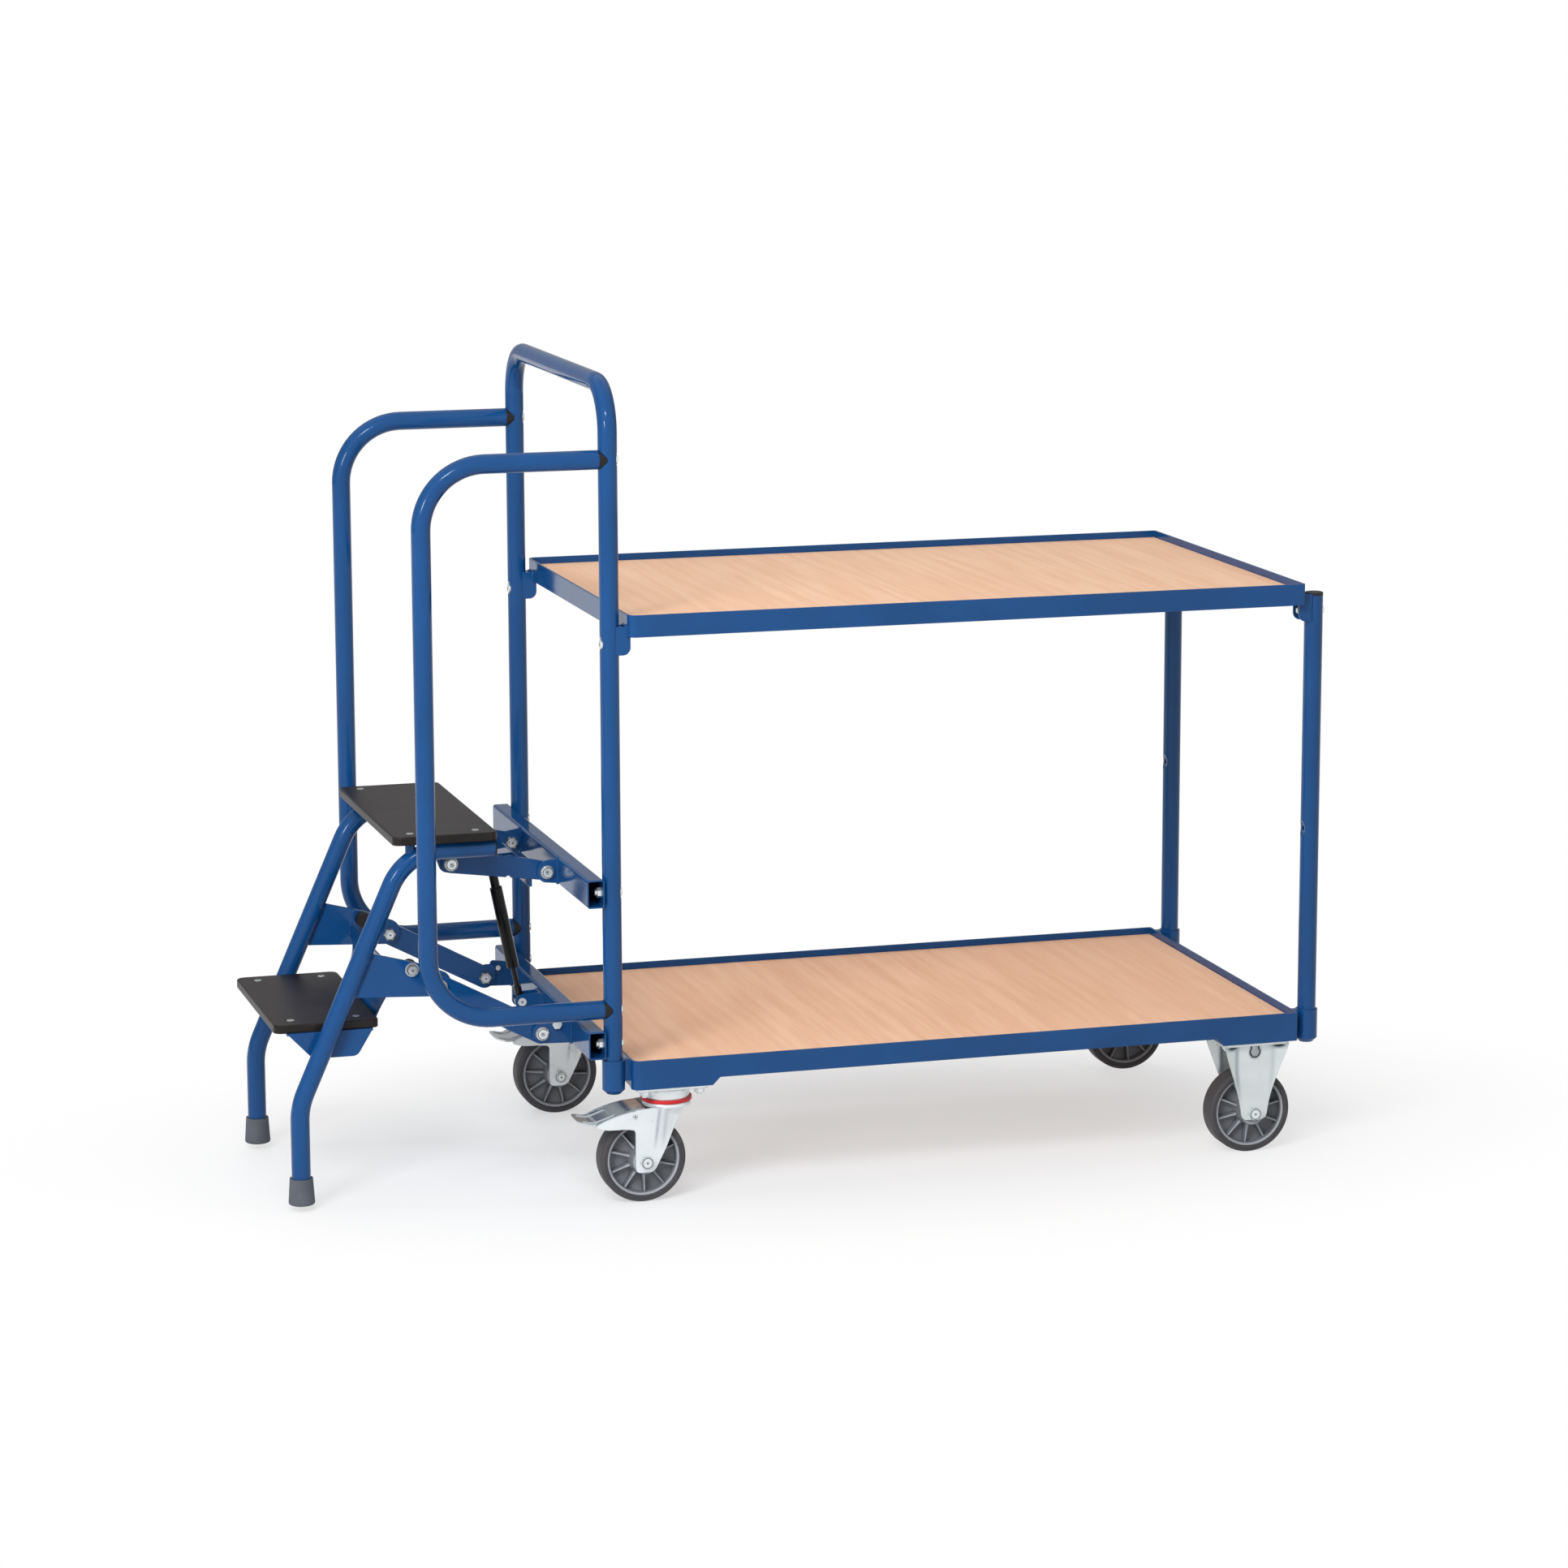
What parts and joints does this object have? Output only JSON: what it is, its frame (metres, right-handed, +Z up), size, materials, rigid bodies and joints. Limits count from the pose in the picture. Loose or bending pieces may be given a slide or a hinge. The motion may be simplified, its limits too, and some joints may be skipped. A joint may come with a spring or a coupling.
{
  "type": "order picking trolley",
  "caption": "Order picking trolley with wood-board trays on a blue tube frame, push hoop, guard rails and a sprung folding-arm step ladder that drops to the floor when stepped on",
  "frame": {"origin": "on the floor, under the middle of the whole trolley", "axes": "+X from the ladder end towards the far end, +Y across the trolley, +Z up"},
  "size_m": [1.5292, 0.608, 1.1785],
  "materials": {
    "blue_paint": "gloss blue powder coat on steel",
    "beech_board": "pale beech board, satin",
    "black_plastic": "black moulded plastic",
    "black_rubber": "black rubber buffer",
    "grey_rubber": "grey rubber foot",
    "black_tread": "film faced ply tread, near black",
    "black_paint": "black painted steel cylinder",
    "polished_rod": "ground and plated rod",
    "zinc": "bright zinc plated steel",
    "red_seal": "red plastic dust seal",
    "grey_rim": "grey moulded rim",
    "grey_tyre": "grey elastomer tread"
  },
  "bodies": {
    "chassis": {"push_hoop": "blue_paint", "right_post_near": "blue_paint", "right_post_far": "blue_paint", "post_plugs": "black_plastic", "upper_tray": "blue_paint", "lower_tray": "blue_paint", "upper_board": "beech_board", "lower_board": "beech_board", "caster_pads": "blue_paint", "caster_bolts": "zinc", "corner_sockets": "blue_paint", "hook_brackets": "blue_paint", "guard_rail_near": "blue_paint", "guard_rail_far": "blue_paint", "rail_saddles": "black_plastic", "upper_crossbar": "blue_paint", "lower_crossbar": "blue_paint", "frame_bolts": "zinc", "upper_ears": "blue_paint", "lower_ears": "blue_paint", "spring_clevis": "blue_paint", "pivot_pins": "zinc", "spring_rod": "polished_rod", "swivel_plates": "zinc", "swivel_seals": "red_seal", "fixed_forks": "zinc", "fixed_axles": "zinc"},
    "upper_arm": {"upper_arm": "blue_paint", "spring_top_pin": "zinc"},
    "lower_arms": {"lower_arm_near": "blue_paint", "lower_arm_far": "blue_paint"},
    "ladder": {"ladder_leg_near": "blue_paint", "ladder_leg_far": "blue_paint", "leg_plugs": "black_plastic", "ladder_feet": "grey_rubber", "ladder_gussets": "blue_paint", "ladder_buffers": "black_rubber", "ladder_bolts": "zinc", "upper_step_bracket": "blue_paint", "riser_panel": "blue_paint", "upper_step": "black_tread", "lower_step": "black_tread", "lower_step_support": "blue_paint", "step_screws": "zinc"},
    "spring_cylinder": {"spring_cylinder": "black_paint"},
    "caster_fork_near": {"swivel_fork_near": "zinc", "fork_pins_near": "zinc"},
    "brake_pedal_near": {"brake_pedal_near": "zinc"},
    "wheel_near_left": {"wheel_rim_near_left": "grey_rim", "wheel_tyre_near_left": "grey_tyre"},
    "caster_fork_far": {"swivel_fork_far": "zinc", "fork_pins_far": "zinc"},
    "brake_pedal_far": {"brake_pedal_far": "zinc"},
    "wheel_far_left": {"wheel_rim_far_left": "grey_rim", "wheel_tyre_far_left": "grey_tyre"},
    "wheel_near_right": {"wheel_rim_near_right": "grey_rim", "wheel_tyre_near_right": "grey_tyre"},
    "wheel_far_right": {"wheel_rim_far_right": "grey_rim", "wheel_tyre_far_right": "grey_tyre"}
  },
  "joints": [
    {"name": "ladder_lift", "type": "hinge", "parent": "chassis", "child": "upper_arm", "pos_m": [-0.35863, 0, 0.454], "axis": [0, -1, 0], "range_deg": [0, 7.5], "stiffness_Nm_per_rad": 12, "springref_deg": -57.3},
    {"name": "ladder_pivot", "type": "hinge", "parent": "upper_arm", "child": "ladder", "pos_m": [-0.49762, 0, 0.473], "axis": [0, -1, 0], "range_deg": [-9.88, 0]},
    {"name": "lower_arm_pivot", "type": "hinge", "parent": "chassis", "child": "lower_arms", "pos_m": [-0.38562, 0, 0.235], "axis": [0, -1, 0], "range_deg": [0, 6.49]},
    {"name": "spring_slide", "type": "slide", "parent": "chassis", "child": "spring_cylinder", "axis": [0.1966, 0, -0.9805], "range_m": [0, 0.0075]},
    {"name": "swivel_near", "type": "hinge", "parent": "chassis", "child": "caster_fork_near", "pos_m": [-0.22262, -0.259, 0.145], "axis": [0, 0, 1], "continuous": true},
    {"name": "brake_near", "type": "hinge", "parent": "caster_fork_near", "child": "brake_pedal_near", "pos_m": [-0.27663, -0.259, 0.13], "axis": [0, -1, 0], "range_deg": [0, 12]},
    {"name": "spin_near_left", "type": "hinge", "parent": "caster_fork_near", "child": "wheel_near_left", "pos_m": [-0.26062, -0.259, 0.0625], "axis": [0, 1, 0], "continuous": true},
    {"name": "swivel_far", "type": "hinge", "parent": "chassis", "child": "caster_fork_far", "pos_m": [-0.22262, 0.259, 0.145], "axis": [0, 0, 1], "continuous": true},
    {"name": "brake_far", "type": "hinge", "parent": "caster_fork_far", "child": "brake_pedal_far", "pos_m": [-0.27663, 0.259, 0.13], "axis": [0, -1, 0], "range_deg": [0, 12]},
    {"name": "spin_far_left", "type": "hinge", "parent": "caster_fork_far", "child": "wheel_far_left", "pos_m": [-0.26062, 0.259, 0.0625], "axis": [0, 1, 0], "continuous": true},
    {"name": "spin_near_right", "type": "hinge", "parent": "chassis", "child": "wheel_near_right", "pos_m": [0.66338, -0.259, 0.0625], "axis": [0, 1, 0], "continuous": true},
    {"name": "spin_far_right", "type": "hinge", "parent": "chassis", "child": "wheel_far_right", "pos_m": [0.66338, 0.259, 0.0625], "axis": [0, 1, 0], "continuous": true}
  ],
  "couplings": [
    {"joint": "ladder_pivot", "follows": "ladder_lift", "ratio": -1.3101},
    {"joint": "lower_arm_pivot", "follows": "ladder_lift", "ratio": 0.85893},
    {"joint": "spring_slide", "follows": "ladder_lift", "m_per_rad": 0.05639}
  ]
}
